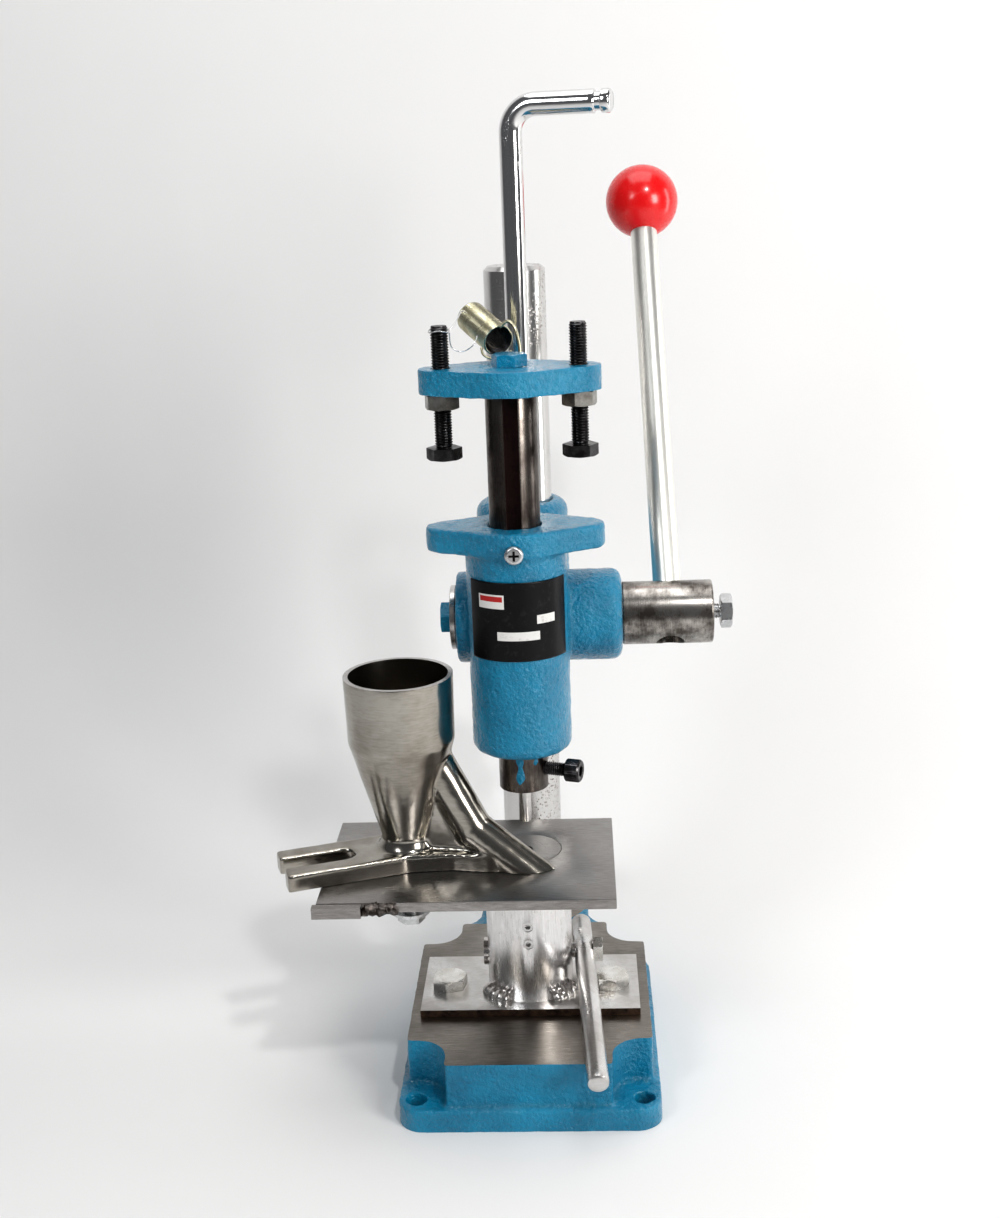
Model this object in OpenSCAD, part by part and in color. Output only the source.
// Small hand tablet press: a rack-and-pinion press on a round column, with a
// die table, a swinging feed shoe and a hand ejector.
// The origin lies on the base's underside, below the ram's axis. +X is the
// handle's side, +Y points back to the column, and +Z is up.

/* [Base casting] */
// Width of the base flange
base_w = 147; // [140:1:180]
// Depth of the base flange, without the lobe under the column
base_d = 176.6; // [170:1:210]
// Thickness of the base flange
flange_t = 13.2; // [10:0.5:18]
// Height of the machined top above the bench
base_h = 39.5; // [36:0.5:50]
// Radius of the flange's corners
base_corner_r = 14; // [8:1:20]
// Distance from the flange's side to a mounting hole's centre
mount_inset_x = 10; // [9:0.5:14]
// Distance from the flange's front or back to a mounting hole's centre
mount_inset_y = 13.2; // [11:0.1:16]
// Radius of a mounting hole
mount_hole_r = 5.5; // [4:0.25:7]
// Radius of the clearance scooped around a mounting hole
mount_scoop_r = 17; // [15:0.5:19]
// Thickness of the walls and ribs under the base
base_wall = 9; // [7:0.5:12]
// Radius of the fillets between the machined block and the column's boss
neck_fillet = 18; // [12:1:22]

/* [Column] */
// Diameter of the column
column_d = 37; // [34:0.5:42]
// Distance from the ram's axis back to the column's axis
throat = 118; // [112:1:135]
// Height of the column's top above the bench
column_top = 455; // [430:2:520]
// Outer diameter of the base's boss around the column
column_boss_d = 70; // [64:1:76]
// Height of that boss's top above the bench
column_boss_top = 78; // [70:1:90]

/* [Table] */
// Height of the table's top above the bench
table_z = 130; // [124:1:150]
// Thickness of the table plate
table_t = 6; // [5:0.5:8]
// Table's left edge, from the ram's axis
table_left = 113.5; // [105:1:125]
// Table's right edge, from the ram's axis
table_right = 50.5; // [45:1:60]
// Table's front edge, from the ram's axis
table_front = 68; // [60:1:75]
// Table's back edge, from the ram's axis
table_back = 43; // [38:1:55]
// Outer diameter of the support tube
tube_d = 50; // [48:0.5:54]
// Wall of the support tube
tube_wall = 4.8; // [4:0.2:5.6]
// Width of the foot plate under the tube
foot_w = 127.2; // [120:1:134]
// Depth of the foot plate
foot_d = 65.4; // [60:1:72]
// Thickness of the foot plate
foot_t = 4.5; // [4:0.5:6]
// Distance from the middle to each foot screw
foot_bolt_x = 48; // [45:0.5:50]
// Width across flats of the foot screws
foot_bolt_af = 18; // [16:0.5:19]

/* [Die and punches] */
// Outer diameter of the die
die_d = 22; // [20:0.5:25]
// Height of the die
die_h = 22; // [20:1:24]
// Radius of the punches' tips
punch_r = 3.6; // [2.5:0.1:4.5]
// Length of the upper punch below the ram
punch_drop = 21.8; // [20:0.2:24]
// Depth of the powder above the lower punch at rest
fill_depth = 8; // [6:0.5:9]
// Travel of the ram between the handle's limits
ram_travel = 23.56; // [20:0.5:25]

/* [Head casting] */
// Height of the head's bottom above the bench
head_z = 194; // [190:1:230]
// Height of the head, up to the flange's top
head_h = 130.3; // [126:0.5:140]
// Outer diameter of the barrel around the ram
barrel_d = 56.6; // [52:0.5:62]
// Thickness of the oval flange on the head
oval_t = 14; // [12:0.5:17]
// Spacing of the two stop bolts
stop_span = 74; // [72:1:84]
// Radius of the ovals' ends
oval_end_r = 12.5; // [11:0.5:14]
// Outer diameter of the boss around the pinion shaft
pinion_boss_d = 52.6; // [48:0.5:56]
// Height of the pinion's axis above the head's bottom
pinion_rise = 70; // [66:1:76]
// Outer diameter of the clamp collar around the column
collar_d = 57; // [54:0.5:62]

/* [Ram] */
// Diameter of the ram
ram_d = 28; // [26:0.5:30]
// Gap from the head's flange up to the stop plate
stop_gap = 72.2; // [66:0.2:78]
// Height the stop bolts' heads stand above the flange
stop_lift = 36.6; // [24:0.2:44]
// Length of the ram below the head at rest
ram_below = 23.7; // [22:0.1:26]
// Thickness of the stop plate
stop_plate_t = 14; // [12:0.5:17]
// Width of the guide keyway
keyway_w = 8; // [6:0.5:9]

/* [Drive] */
// Gear module of the rack and pinion
gear_m = 2; // [1.9:0.05:2.1]
// Number of teeth of the pinion
gear_n = 15; // [14:1:16]
// Diameter of the pinion shaft
shaft_d = 35; // [34.6:0.1:40]
// Diameter of the shaft's hub outside the head
hub_d = 36; // [36:0.5:42]
// Length of the hub
hub_l = 51; // [46:1:56]
// Diameter of the handle rod
handle_d = 16; // [13:0.5:17]
// Length from the pinion's axis to the ball's centre
handle_l = 261; // [220:1:262]
// Diameter of the ball knob
ball_d = 44; // [35:1:44]
// Angle by which the handle leans back at rest
handle_lean = 31; // [20:1:35]
// Angle by which the handle leans in towards the head
handle_splay = 1.7; // [0:0.1:3]

/* [Spring rod] */
// Diameter of the bent spring rod
rod_d = 13; // [10:0.5:14]
// Distance from the ram's axis back to the rod's axis
rod_y = 66; // [62:1:72]
// Sideways distance from the ram's axis to the rod's axis
rod_x = 2.5; // [0:0.5:5]
// Height of the arm's centre line above the bench
rod_top = 545.3; // [540:1:600]
// Reach of the arm from the rod's axis
rod_reach = 58; // [40:1:59]
// Angle by which the arm points forward of +X
rod_turn = 15; // [5:1:20]

/* [Feed shoe] */
// Distance from the ram's axis left to the pivot's axis
pivot_x = 68; // [66:1:74]
// Distance from the ram's axis forward to the pivot's axis
pivot_y = 12; // [8:1:16]
// Outer diameter of the hopper
hopper_d = 62; // [56:1:66]
// Height of the hopper's rim above the table
hopper_h = 112.5; // [105:0.5:125]
// Wall of the shoe casting
shoe_wall = 3; // [2.5:0.1:3.5]
// Outer radius of the chute
chute_r = 11; // [10:0.25:11.5]
// Reach of the nose from the pivot
nose_reach = 87; // [84:1:94]
// Angle of the nose forward of +X at rest
nose_turn = 10.5; // [8:0.5:14]

/* [Ejector] */
// Height of the ejector shaft above the foot plate
eject_rise = 18; // [17:0.25:20]
// Distance from the ram's axis back to the ejector shaft
eject_y = 5; // [4:0.5:7]
// Diameter of the ejector lever
lever_d = 12; // [10:0.5:13]
// Length of the lever in front of its pivot
lever_front = 116; // [100:1:125]
// Length of the lever behind its pivot
lever_tail = 29; // [20:1:30]
// Angle by which the lever slopes down to the front at rest
lever_slope = 10; // [8:0.5:11]
// Angle by which the lever's front leans out from the tube
lever_splay = 3.2; // [0:0.2:4]

/* [Fits] */
// Radial clearance of a running fit
fit = 0.05; // [0.02:0.01:0.1]
// Gap between pieces that pass each other
gap = 0.3; // [0.2:0.05:0.5]
// Smoothness of round pieces
smooth = 64; // [48:8:96]

/* [Hidden] */
$fn = smooth;
skin = 0.1;                 // how far a cut runs past a face
blue = "steelblue";
steel = "silver";
dark = "dimgray";

// Places that follow from the sizes above
hole_x = base_w / 2 - mount_inset_x;
hole_y = base_d / 2 - mount_inset_y;
block_x = base_w / 2 - 4;
block_y = base_d / 2 - 3.7;
foot_z = base_h + foot_t;
table_under = table_z - table_t;
tube_r = tube_d / 2;
tube_in = tube_r - tube_wall;
holder_r = tube_in - fit;
holder_low = table_z - 53;
holder_bore = 6.05;
column_r = column_d / 2;
flange_top = head_z + head_h;
oval_z = flange_top - oval_t;
barrel_r = barrel_d / 2;
boss_r = pinion_boss_d / 2;
collar_r = collar_d / 2;
collar_top = flange_top - 11;
ram_r = ram_d / 2;
ram_low = head_z - ram_below;
plate_z = flange_top + stop_gap;
plate_top = plate_z + stop_plate_t;
punch_tip = ram_low - punch_drop;
pitch_r = gear_m * gear_n / 2;
rack_y = ram_r - 4;                     // the rack's pitch plane
pinion_y = rack_y + pitch_r;
pinion_z = head_z + pinion_rise;
rack_pitch = PI * gear_m;
rack_tip = 0.8 * gear_m;
rack_root = 1.15 * gear_m;
backlash = 0.12;
teeth_x = ram_r + 1;
shaft_r = shaft_d / 2 - fit;
boss_left = barrel_r + 7.7;
boss_right = barrel_r + 30.1;
hub_x = boss_right + gap;
hub_end = hub_x + hub_l;
handle_x = hub_x + 26.3;
bolt_r = 5;                             // M10 screws
bolt_af = 17;
foot_bolt_y = -3;
clamp_z = 11.4;
clamp_turn = 72;
bolt_head = 6.5;
stop_head_z = flange_top + stop_lift;
eject_z = foot_z + eject_rise;
finger_l = 15;
finger_tip_r = 8.5;
finger_drop = asin(fill_depth / 2 / finger_l);
shaft2_r = 4.5;                         // ejector shaft
lever_x = tube_r + gap + lever_d / 2 + 0.4;
carrier_z = eject_z - fill_depth / 2 + finger_tip_r + gap;
carrier_foot_t = 4;
bearing_l = 2.5;
carrier_foot_r = 9;
carrier_r = holder_bore - fit;
carrier_top = table_z - die_h - fill_depth - 2;
lower_tip = table_z - fill_depth;
spring_pocket_r = 11.5;
spring_seat = holder_low + 16;
shoe_z = table_z + gap;
arm_t = 10;
cone_z = table_z + 74;
rim_z = table_z + hopper_h;
shoe_bolt_r = 5;
washer_z = table_z - 33;

// ---------- shapes used more than once ----------

// A round bar from low to high along Z
module bar(r, low, high) {
    translate([0, 0, low]) cylinder(r = r, h = high - low);
}

// A round bar from low to high along X
module bar_x(r, low, high) {
    translate([low, 0, 0]) rotate([0, 90, 0]) cylinder(r = r, h = high - low);
}

// A hexagonal prism, given across its flats, standing on z = 0
module hexagon(af, h) {
    cylinder(d = af / cos(30), h = h, $fn = 6);
}

// A hex screw: its head stands up from z = 0 and its shank hangs below
module hex_screw(r, af, head, length) {
    hexagon(af, head);
    bar(r, -length, 0);
}

// Half of the profile of a bar whose edges are rounded by low_e and high_e
module round_profile(r, h, low_e, high_e) {
    square([r - max(low_e, high_e), h]);
    translate([0, low_e]) square([r, h - low_e - high_e]);
    if (low_e > 0) intersection() {
        translate([r - low_e, low_e]) circle(low_e);
        square([r, low_e]);
    }
    if (high_e > 0) intersection() {
        translate([r - high_e, h - high_e]) circle(high_e);
        translate([0, h - high_e]) square([r, high_e]);
    }
}

// A round bar along Z with rounded edges, standing on z = 0
module round_bar(r, h, low_e, high_e) {
    rotate_extrude() round_profile(r, h, low_e, high_e);
}

// Two circles on X joined by their outer tangents, on the side sign of X
module tangent_pair(r0, r1, span, side) {
    a = acos((r0 - r1) / span);
    translate([side * span, 0]) circle(r1);
    polygon([
        [0, 0],
        [side * r0 * cos(a), r0 * sin(a)],
        [side * (span + r1 * cos(a)), r1 * sin(a)],
        [side * span, 0],
        [side * (span + r1 * cos(a)), -r1 * sin(a)],
        [side * r0 * cos(a), -r0 * sin(a)]]);
}

// The two-bolt oval of the head's flange and of the stop plate
module oval(r) {
    half = stop_span / 2;
    a = acos((r - oval_end_r) / half);
    near = r * [cos(a), sin(a)];
    far = [half, 0] + oval_end_r * [cos(a), sin(a)];
    circle(r);
    for (side = [-1, 1]) translate([side * half, 0]) circle(oval_end_r);
    polygon([far, near, [-near[0], near[1]], [-far[0], far[1]],
             -far, -near, [near[0], -near[1]], [far[0], -far[1]]]);
}

// A rectangle centred on the origin with round corners
module round_rectangle(w, d, r) {
    square([w - 2 * r, d], center = true);
    square([w, d - 2 * r], center = true);
    for (sx = [-1, 1], sy = [-1, 1])
        translate([sx * (w / 2 - r), sy * (d / 2 - r)]) circle(r);
}

// The corners of the base, each scooped out around its mounting hole
module corner_scoops() {
    for (sx = [-1, 1], sy = [-1, 1]) translate([sx * hole_x, sy * hole_y]) {
        circle(mount_scoop_r);
        translate([sx > 0 ? 0 : -40, sy > 0 ? -mount_scoop_r : -40])
            square([40, 40 + mount_scoop_r]);
        translate([sx > 0 ? -mount_scoop_r : -40, sy > 0 ? 0 : -40])
            square([40 + mount_scoop_r, 40]);
    }
}

// Angle in degrees by which an involute has turned at radius r
function involute(r, base) =
    let (a = acos(min(1, base / r))) (tan(a) - a * PI / 180) * 180 / PI;

// Half of a pinion tooth's angle at radius r
function tooth_half(r, base) =
    (rack_pitch / 2 - backlash) / pitch_r / 2 * 180 / PI
    + involute(pitch_r, base) - involute(r, base);

// ---------- base and column ----------

// The neck from the machined block back to the column's boss, with round fillets
module neck_plan() {
    side_x = column_boss_d / 2;
    translate([-side_x, 0]) square([2 * side_x, throat]);
    difference() {
        translate([-side_x - 10, block_y - 1]) square([2 * side_x + 20, neck_fillet + 1]);
        for (side = [-1, 1])
            translate([side * (side_x + neck_fillet), block_y + neck_fillet])
                circle(neck_fillet);
    }
}

module base_casting() {
    foot_r = column_boss_d / 2 + 8;
    color(blue) difference() {
        union() {
            linear_extrude(flange_t) {
                round_rectangle(base_w, base_d, base_corner_r);
                translate([0, throat]) circle(foot_r);
                translate([-foot_r, 0]) square([2 * foot_r, throat]);
            }
            linear_extrude(base_h) difference() {
                round_rectangle(2 * block_x, 2 * block_y, 4);
                corner_scoops();
            }
            linear_extrude(base_h - 1) neck_plan();
            translate([0, throat, 0])
                round_bar(column_boss_d / 2, column_boss_top, 0, 4);
        }
        for (sx = [-1, 1], sy = [-1, 1]) {
            translate([sx * hole_x, sy * hole_y, 0])
                bar(mount_hole_r, -skin, flange_t + skin);
            translate([sx > 0 ? base_wall / 2 : base_wall / 2 - block_x + base_wall,
                       sy > 0 ? base_wall / 2 : base_wall / 2 - hole_y + mount_scoop_r, -skin])
                cube([block_x - 2 * base_wall,
                      hole_y - mount_scoop_r - base_wall, base_h - base_wall + skin]);
        }
        translate([0, throat, 0]) bar(column_r + fit, 2, column_boss_top + skin);
        translate([0, throat, 0]) for (z = [30, 58])
            translate([0, column_r, z]) rotate([-90, 0, 0]) bar(4, -1, column_boss_d);
        for (side = [-1, 1])
            translate([side * foot_bolt_x, foot_bolt_y, 0])
                bar(bolt_r + fit, base_h - 22, base_h + skin);
    }
}

module column() {
    color(steel) translate([0, throat, 2 + fit])
        rotate_extrude() difference() {
            square([column_r, column_top - 2 - fit]);
            translate([column_r, column_top - 2 - fit]) rotate(45) square(3.6, center = true);
        }
}

// Two screws behind the boss that hold the column in the base
module column_set_screws() {
    color(dark) for (z = [30, 58])
        translate([0, throat, z]) rotate([-90, 0, 0]) difference() {
            bar(4 - fit, column_r + 0.2, column_boss_d / 2 + 2);
            translate([0, 0, column_boss_d / 2 - 2]) hexagon(4, 5);
        }
}

// ---------- table stand ----------

module foot_plate() {
    color(steel) difference() {
        translate([-foot_w / 2, -foot_d / 2, base_h + fit])
            cube([foot_w, foot_d, foot_t - fit]);
        for (side = [-1, 1])
            translate([side * foot_bolt_x, foot_bolt_y, 0])
                bar(bolt_r + 0.5, base_h - skin, foot_z + skin);
    }
}

module foot_plate_bolts() {
    color(steel) for (side = [-1, 1])
        translate([side * foot_bolt_x, foot_bolt_y, foot_z + fit]) rotate(side * 12)
            hex_screw(bolt_r, foot_bolt_af, bolt_head, 24);
}

module support_tube() {
    color(steel) difference() {
        bar(tube_r, foot_z + fit, table_under - fit);
        bar(tube_in, foot_z, table_under + skin);
        translate([0, eject_y, eject_z]) bar_x(shaft2_r + fit, -tube_d, tube_d);
        for (z = holder_screw_z())
            translate([0, 0, z]) rotate([90, 0, 0]) bar(3, 0, tube_d);
    }
}

// Heights of the two screws that hold the die holder
function holder_screw_z() = [holder_low + 4, holder_low + 15];

// Weld beads at the tube's foot, on each side of the front
module foot_welds() {
    color(steel) for (a = [200, 300]) translate([0, 0, foot_z + fit]) rotate(a)
        rotate_extrude(angle = 40) difference() {
            translate([tube_r + fit, 0]) circle(5.5);
            translate([0, -10]) square([tube_r + 10, 10]);
            translate([0, -1]) square([tube_r + fit, 10]);
        }
}

module table_plate() {
    color(steel) difference() {
        translate([-table_left, -table_front, table_under])
            cube([table_left + table_right, table_front + table_back, table_t]);
        bar(holder_r + fit, table_under - skin, table_z + skin);
        translate([-pivot_x, -pivot_y, 0])
            bar(shoe_bolt_r + fit, table_under - skin, table_z + skin);
    }
}

// The bead that joins the tube to the table's underside
module table_weld() {
    color(steel) translate([0, 0, table_under - fit]) rotate_extrude() difference() {
        translate([tube_r + fit, 0]) circle(3.5);
        translate([0, 0]) square([tube_r + 10, 10]);
        translate([0, -10]) square([tube_r + fit, 20]);
    }
}

// A strip welded to the table's front left corner, below the arm
module stop_tab() {
    color(steel) translate([-table_left - 2, -table_front - 5, table_under - 1])
        cube([27, 5 - fit, table_t + 0.4]);
}

module tab_weld() {
    color(steel) for (k = [0:3])
        translate([-table_left + 27.9 + 4.4 * k, -table_front - fit, table_under + 2.6])
            difference() {
                sphere(3);
                translate([-5, 0, -5]) cube(10);
            }
}

// ---------- die, holder and lower punch ----------

module die_holder() {
    color(steel) difference() {
        bar(holder_r, holder_low, table_z - fit);
        bar(die_d / 2 + fit, table_z - die_h, table_z + skin);
        bar(holder_bore, holder_low - skin, table_z);
        bar(spring_pocket_r, holder_low - skin, spring_seat);
        for (z = holder_screw_z())
            translate([0, 0, z]) rotate([90, 0, 0]) bar(3, holder_r - 5, tube_d);
    }
}

module die_holder_screws() {
    color(dark) for (z = holder_screw_z())
        translate([0, 0, z]) rotate([90, 0, 0]) difference() {
            bar(3 - fit, holder_r - 5 + fit, tube_r - 0.6);
            translate([0, 0, tube_r - 3]) hexagon(3, 4);
        }
}

module die() {
    color(steel) difference() {
        bar(die_d / 2, table_z - die_h + fit, table_z - fit);
        bar(punch_r + fit, table_z - die_h - skin, table_z + skin);
    }
}

module lower_punch() {
    color(steel) {
        bar(punch_r, carrier_top, lower_tip);
        bar(punch_r - 1, carrier_top - 9, carrier_top + 1);
    }
}

module punch_carrier() {
    color(steel) difference() {
        union() {
            bar(carrier_foot_r, carrier_z, carrier_z + carrier_foot_t);
            bar(carrier_r, carrier_z, carrier_top - fit);
        }
        bar(punch_r - 1 + fit, carrier_top - 9 - fit, carrier_top + skin);
        translate([0, 0, carrier_z - skin]) bar(2, 0, 12);
    }
}

// The nut that locks the fill depth, on the carrier's thread
module carrier_nut() {
    color(dark) difference() {
        translate([0, 0, carrier_z + carrier_foot_t + fit]) hexagon(16, 3);
        bar(carrier_r + fit, carrier_z, carrier_z + 12);
    }
}

// Spring between the carrier's nut and the holder, as a plain sleeve
module carrier_spring() {
    color(steel) difference() {
        bar(spring_pocket_r - 1, carrier_z + carrier_foot_t + 3 + 2 * fit, spring_seat - fit);
        bar(spring_pocket_r - 3, carrier_z, spring_seat + skin);
    }
}

// ---------- hand ejector ----------

// The short bush welded to the tube, in which the shaft turns
module lever_bearing() {
    color(steel) difference() {
        translate([0, eject_y, eject_z]) bar_x(8, -tube_r - bearing_l, -tube_in);
        translate([0, eject_y, eject_z]) bar_x(shaft2_r + fit, -tube_r - bearing_l - 1, 0);
        bar(tube_r + fit, foot_z, table_z);
    }
}

module ejector_shaft() {
    color(steel) translate([0, eject_y, eject_z]) {
        bar_x(shaft2_r, -tube_r - bearing_l, lever_x + lever_d / 2 - 0.4);
        bar_x(4, lever_x, lever_x + lever_d / 2 + 5);
        rotate([90, 0, 90]) translate([0, 0, -4]) linear_extrude(8)
            rotate(180 + finger_drop) tangent_pair(shaft2_r - 0.5, finger_tip_r, finger_l, 1);
    }
}

module ejector_lever() {
    color(steel) translate([lever_x, eject_y, eject_z]) rotate([90 + lever_slope, 0, 0])
        difference() {
            union() {
                rotate([0, lever_splay, 0]) bar(lever_d / 2, -lever_tail, lever_front);
                rotate([0, 90, 0]) bar(8.5, -lever_d / 2 + 0.6, lever_d / 2 - 0.6);
            }
            rotate([0, 90, 0]) bar(shaft2_r + fit, -lever_d, lever_d);
            translate([-lever_d - lever_d / 2 + 0.6, -10, -11]) cube([lever_d, 20, 22]);
            translate([lever_d / 2 - 0.6, -10, -11]) cube([lever_d, 20, 22]);
        }
}

module ejector_lever_nut() {
    color(steel) translate([lever_x + lever_d / 2 - 0.4 + fit, eject_y, eject_z])
        rotate([0, 90, 0]) difference() {
            hexagon(13, 5.6);
            bar(4 + fit, -skin, 6);
        }
}

// ---------- head ----------

module head_casting() {
    color(blue) difference() {
        union() {
            translate([0, 0, head_z]) round_bar(barrel_r, head_h - 1, 5, 0);
            translate([0, 0, oval_z]) linear_extrude(oval_t) oval(barrel_r + 1.7);
            translate([0, pinion_y, pinion_z]) rotate([0, 90, 0])
                translate([0, 0, -boss_left])
                    round_bar(boss_r, boss_left + boss_right, 2, 6);
            translate([-20, 0, head_z + 32])
                cube([40, throat - 10, collar_top - 5 - head_z - 32]);
            translate([0, throat, head_z + 20])
                round_bar(collar_r, collar_top - head_z - 20, 3, 8);
            translate([-22, throat, head_z + 32])
                cube([44, collar_r + 16, 74]);
        }
        bar(ram_r + fit, head_z - skin, flange_top + skin);
        translate([0, pinion_y, pinion_z])
            bar_x(shaft_r + fit, -boss_left - skin, boss_right + skin);
        translate([0, throat, 0]) bar(column_r + fit, head_z, collar_top + skin);
        translate([-2, throat, head_z]) cube([4, 80, head_h]);
        translate([rod_x, rod_y, 0]) bar(rod_d / 2 + fit, collar_top - 50, collar_top + skin);
        for (z = clamp_z()) translate([0, throat + collar_r + 6, z]) {
            bar_x(bolt_r + 0.3, -30, 30);
        }
        translate([0, 0, oval_z + 3]) rotate([90, 0, 0]) bar(2.5, ram_r - 1, barrel_d);
        translate([0, rod_y, collar_top - 32]) bar_x(3, 0, 30);
    }
}

// Heights of the two bolts that close the clamp collar
function clamp_z() = [head_z + 50, head_z + 88];

module head_clamp_bolts() {
    color(steel) for (z = clamp_z()) translate([22 + fit, throat + collar_r + 6, z])
        rotate([0, 90, 0]) hex_screw(bolt_r, bolt_af, bolt_head, 44);
}

// Cross-head screw whose tip rides in the ram's keyway
module ram_guide_screw() {
    color(steel) translate([0, 0, oval_z + 3]) rotate([90, 0, 0]) difference() {
        union() {
            bar(2.5 - fit, ram_r - 2.5, barrel_r + 2);
            translate([0, 0, barrel_r + 1.8]) round_bar(5.2, 2.6, 0, 1.8);
        }
        for (w = [[5.6, 1.3], [1.3, 5.6]])
            translate([-w[0] / 2, -w[1] / 2, barrel_r + 3]) cube([w[0], w[1], 3]);
    }
}

// Blank plate bent round the barrel's front
module name_label() {
    color("black") translate([0, 0, head_z + 59]) rotate(270 - 60)
        rotate_extrude(angle = 126) translate([barrel_r + fit, 0]) square([0.25, 44.5]);
}

// Grub screw that keeps the spring rod from turning
module rod_set_screw() {
    color(dark) translate([0, rod_y, collar_top - 32]) difference() {
        bar_x(3 - fit, rod_x + rod_d / 2 + gap, 19.6);
        translate([17.5, 0, 0]) rotate([0, 90, 0]) hexagon(3, 4);
    }
}

module spring_rod() {
    bend_r = 15;
    groove = rod_reach - 9.5;
    color(steel) translate([rod_x, rod_y, 0]) rotate(-rod_turn) difference() {
        union() {
            bar(rod_d / 2, collar_top - 48, rod_top - bend_r);
            translate([bend_r, 0, rod_top - bend_r]) rotate([90, -90, 0])
                rotate_extrude(angle = 90) translate([bend_r, 0]) circle(rod_d / 2);
            translate([0, 0, rod_top]) bar_x(rod_d / 2, bend_r, rod_reach);
        }
        translate([0, 0, rod_top]) difference() {
            bar_x(rod_d, groove, groove + 4);
            bar_x(rod_d / 2 - 1.6, groove - 1, groove + 5);
        }
    }
}

// ---------- ram and what rides on it ----------

module ram() {
    rack_low = pinion_z - 28;
    rack_count = ceil((56 + ram_travel) / rack_pitch);
    half_root = rack_pitch / 4 - rack_root * tan(20);
    half_tip = rack_pitch / 4 + rack_tip * tan(20) + backlash / 4;
    color(dark) difference() {
        bar(ram_r, ram_low, plate_z - fit);
        translate([-ram_r, rack_y + rack_tip, rack_low])
            cube([ram_d, ram_d, rack_count * rack_pitch]);
        for (k = [-4:rack_count - 5]) translate([-ram_r, rack_y, pinion_z + k * rack_pitch])
            rotate([90, 0, 90]) linear_extrude(ram_d) polygon([
                [-rack_root, -half_root], [rack_tip + skin, -half_tip - skin * tan(20)],
                [rack_tip + skin, half_tip + skin * tan(20)], [-rack_root, half_root]]);
        translate([-keyway_w / 2, -ram_d - ram_r + 4, head_z + 20])
            cube([keyway_w, ram_d, plate_z - head_z]);
        bar(5 + fit, ram_low - skin, ram_low + 26);
        translate([0, 0, ram_low + clamp_z]) rotate([90, 0, clamp_turn]) bar(4, 0, ram_d);
        bar(bolt_r + fit, plate_z - 22, plate_z);
    }
}

module upper_punch() {
    color(steel) {
        bar(punch_r, punch_tip, ram_low);
        bar(punch_r + 1, ram_low - 3.7, ram_low - fit);
        bar(5, ram_low - fit, ram_low + 25);
    }
}

// Socket screw that grips the upper punch
module punch_clamp_screw() {
    color("black") translate([0, 0, ram_low + clamp_z]) rotate([90, 0, clamp_turn]) difference() {
        union() {
            bar(4 - fit, 5 + fit, 26);
            translate([0, 0, 26]) round_bar(6.5, 8.5, 0, 0.6);
        }
        translate([0, 0, 30]) hexagon(6, 6);
    }
}

module stop_plate() {
    color(blue) difference() {
        translate([0, 0, plate_z]) linear_extrude(stop_plate_t) oval(barrel_r + 0.7);
        for (side = [-1:1]) translate([side * stop_span / 2, 0, 0])
            bar(bolt_r + fit, plate_z - skin, plate_top + skin);
    }
}

module ram_cap_bolt() {
    color(blue) translate([0, 0, plate_top + fit]) rotate(20)
        hex_screw(bolt_r, bolt_af, bolt_head, stop_plate_t + 20);
}

module stop_bolts() {
    color("black") for (side = [-1, 1]) translate([side * stop_span / 2, 0, stop_head_z]) {
        hexagon(bolt_af, bolt_head);
        bar(bolt_r, 0, 72);
    }
}

module stop_nuts() {
    color(steel) for (side = [-1, 1]) translate([side * stop_span / 2, 0, plate_z - 8 - fit])
        rotate(side * 20 + 8) difference() {
            hexagon(bolt_af, 8);
            bar(bolt_r + fit, -skin, 8 + skin);
        }
}

// The close-coiled return spring, unhooked and tied on top of the stop plate
module return_spring() {
    color("khaki") translate([-6, 19, plate_top + 11]) rotate([0, 71, 121]) difference() {
        bar(8.9, 0, 34);
        bar(7.6, -skin, 34 + skin);
    }
}

module spring_tie_wire() {
    color(steel) translate([-stop_span / 2, 0, plate_top + 13]) rotate_extrude()
        translate([bolt_r + 0.4, 0]) circle(0.4);
}

// ---------- pinion, handle and knob ----------

module pinion_teeth() {
    base_r = pitch_r * cos(20);
    root_r = pitch_r - 1.05 * gear_m;
    tip_r = pitch_r + gear_m - 0.1;
    steps = 5;
    flank = [for (k = [0:steps]) let (r = base_r + (tip_r - base_r) * k / steps)
        [r, tooth_half(r, base_r)]];
    outline = [for (i = [0:gear_n - 1]) let (a = 180 + i * 360 / gear_n) each concat(
        [[root_r * cos(a - flank[0][1]), root_r * sin(a - flank[0][1])]],
        [for (f = flank) [f[0] * cos(a - f[1]), f[0] * sin(a - f[1])]],
        [for (k = [steps:-1:0]) let (f = flank[k])
            [f[0] * cos(a + f[1]), f[0] * sin(a + f[1])]],
        [[root_r * cos(a + flank[0][1]), root_r * sin(a + flank[0][1])]])];
    rotate([90, 0, 90]) translate([0, 0, -teeth_x - skin])
        linear_extrude(2 * (teeth_x + skin)) polygon(outline);
}

module pinion_shaft() {
    color(steel) translate([0, pinion_y, pinion_z]) difference() {
        union() {
            bar_x(shaft_r, -boss_left - gap, -teeth_x);
            pinion_teeth();
            bar_x(shaft_r, teeth_x, hub_end - 1);
            translate([hub_x, 0, 0]) rotate([0, 90, 0]) round_bar(hub_d / 2, hub_l, 0.6, 1.2);
        }
        translate([handle_x, 0, 0]) handle_axis() bar(handle_d / 2 + fit, -hub_d, hub_d);
        bar_x(bolt_r - 0.5, handle_x, hub_end + skin);
        bar_x(bolt_r - 0.5, -boss_left - 1, -boss_left + 20);
    }
}

// Puts +Z along the handle
module handle_axis() {
    rotate([-handle_lean, -handle_splay, 0]) children();
}

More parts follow.
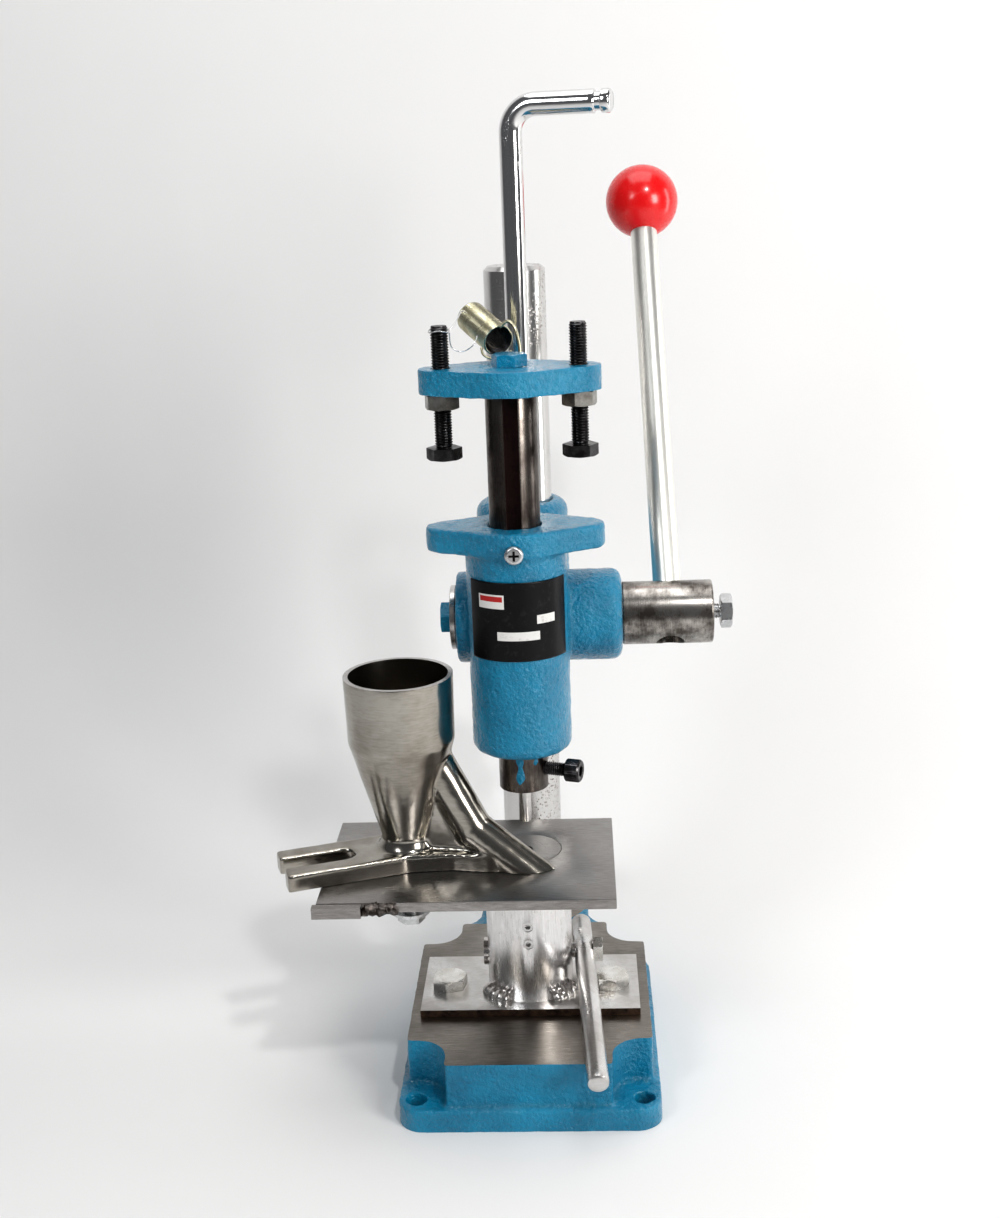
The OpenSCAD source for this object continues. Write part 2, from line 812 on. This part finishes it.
module retaining_washer() {
    color(steel) translate([-boss_left - gap - fit, pinion_y, pinion_z]) difference() {
        bar_x(18.5, -3, 0);
        bar_x(bolt_r, -4, 1);
    }
}

module retaining_bolt() {
    color(blue) translate([-boss_left - gap - 3 - 2 * fit, pinion_y, pinion_z])
        rotate([0, -90, 0]) hex_screw(bolt_r - 0.5 - fit, bolt_af, 5.9, 20);
}

module handle_rod() {
    neck = ball_d / 2 - 2;
    color(steel) translate([handle_x, pinion_y, pinion_z]) handle_axis() {
        bar(handle_d / 2, -9, handle_l - neck);
        bar(handle_d / 2 - 2, handle_l - neck - 1, handle_l - 2);
    }
}

module ball_knob() {
    neck = ball_d / 2 - 2;
    color("red") translate([handle_x, pinion_y, pinion_z]) handle_axis()
        translate([0, 0, handle_l]) difference() {
            sphere(ball_d / 2);
            bar(ball_d / 2, -ball_d, -neck + fit);
            bar(handle_d / 2 - 2 + fit, -neck - 1, -1.9);
        }
}

module handle_lock_bolt() {
    color(steel) translate([hub_end + 4.6, pinion_y, pinion_z]) rotate([0, 90, 0])
        hex_screw(bolt_r - 0.5 - fit, bolt_af, bolt_head,
                  hub_end + 4.6 - handle_x - handle_d / 2 - 0.6);
}

// ---------- feed shoe ----------

// Points of the chute's centre line, from the pivot's axis: reach and height
function chute_line() = [[13, 72], [nose_reach - 47, 21], [nose_reach - 6.8, -8.6]];

// The chute's body: two round bars of radius r with a ball at their elbow
module chute(r) {
    p = chute_line();
    for (k = [0, 1]) {
        run = p[k + 1][0] - p[k][0];
        fall = p[k][1] - p[k + 1][1];
        translate([p[k][0], 0, shoe_z + p[k][1]])
            rotate([0, 90 + atan(fall / run), 0]) cylinder(r = r, h = norm([run, fall]));
    }
    translate([p[1][0], 0, shoe_z + p[1][1]]) sphere(r + 0.3);
}

// Puts the shoe's own frame at its pivot, with +X along the nose
module shoe_frame() {
    translate([-pivot_x, -pivot_y, 0]) rotate(-nose_turn) children();
}

// The fork and the pad around the pivot, seen from above
module shoe_plan() {
    fork_turn = 200 + nose_turn;
    circle(19);
    tangent_pair(12, 11, 50, 1);
    rotate(fork_turn) {
        translate([0, -13]) square([45, 26]);
        translate([26, -18.7]) square([47, 37.4]);
        translate([26, 0]) circle(18.7);
    }
}

module feed_shoe() {
    fork_turn = 200 + nose_turn;
    wall = shoe_wall;
    color(steel) shoe_frame() difference() {
        union() {
            translate([0, 0, shoe_z]) linear_extrude(arm_t) shoe_plan();
            rotate_extrude() polygon([
                [0, shoe_z], [15, shoe_z], [13.4, shoe_z + 14],
                [hopper_d / 2 - 0.8, cone_z], [hopper_d / 2, rim_z], [0, rim_z]]);
            intersection() {
                chute(chute_r);
                translate([0, -60, shoe_z]) cube([nose_reach + 10, 120, 90]);
            }
            translate([0, 0, shoe_z]) rotate([90, 0, 0]) linear_extrude(13, center = true)
                polygon([[6, 1], [nose_reach - 29, 1], [nose_reach - 49, 14], [16, 50]]);
        }
        rotate_extrude() polygon([
            [0, shoe_z + 26], [6, shoe_z + 26], [hopper_d / 2 - 0.8 - wall, cone_z],
            [hopper_d / 2 - wall, rim_z + skin], [0, rim_z + skin]]);
        chute(chute_r - wall);
        bar(shoe_bolt_r + fit, shoe_z - skin, shoe_z + 16);
        rotate(fork_turn) {
            translate([38, 0, shoe_z - skin]) cylinder(r = 6.8, h = arm_t + 2 * skin);
            translate([38, -6.8, shoe_z - skin]) cube([40, 13.6, arm_t + 2 * skin]);
        }
    }
}

module shoe_pivot_bolt() {
    color(steel) translate([-pivot_x, -pivot_y, washer_z - 5 - fit]) rotate(8) {
        hexagon(bolt_af - 3, 5);
        bar(shoe_bolt_r, 0, shoe_z + 15 - washer_z + 5);
    }
}

module pivot_washer() {
    color(steel) translate([-pivot_x, -pivot_y, 0]) difference() {
        bar(11, washer_z, washer_z + 2);
        bar(shoe_bolt_r + fit, washer_z - skin, washer_z + 3);
    }
}

// Spring that holds the shoe down on the table, as a plain sleeve
module pivot_spring() {
    color(steel) translate([-pivot_x, -pivot_y, 0]) difference() {
        bar(8.5, washer_z + 2 + fit, table_under - gap);
        bar(6.5, washer_z, table_under);
    }
}

base_casting();
column();
column_set_screws();
foot_plate();
foot_plate_bolts();
support_tube();
foot_welds();
table_plate();
table_weld();
stop_tab();
tab_weld();
die_holder();
die_holder_screws();
die();
lever_bearing();
ejector_shaft();
ejector_lever();
ejector_lever_nut();
lower_punch();
punch_carrier();
carrier_nut();
carrier_spring();
head_casting();
head_clamp_bolts();
ram_guide_screw();
name_label();
rod_set_screw();
spring_rod();
ram();
upper_punch();
punch_clamp_screw();
stop_plate();
ram_cap_bolt();
stop_bolts();
stop_nuts();
return_spring();
spring_tie_wire();
pinion_shaft();
retaining_washer();
retaining_bolt();
handle_rod();
ball_knob();
handle_lock_bolt();
feed_shoe();
shoe_pivot_bolt();
pivot_washer();
pivot_spring();
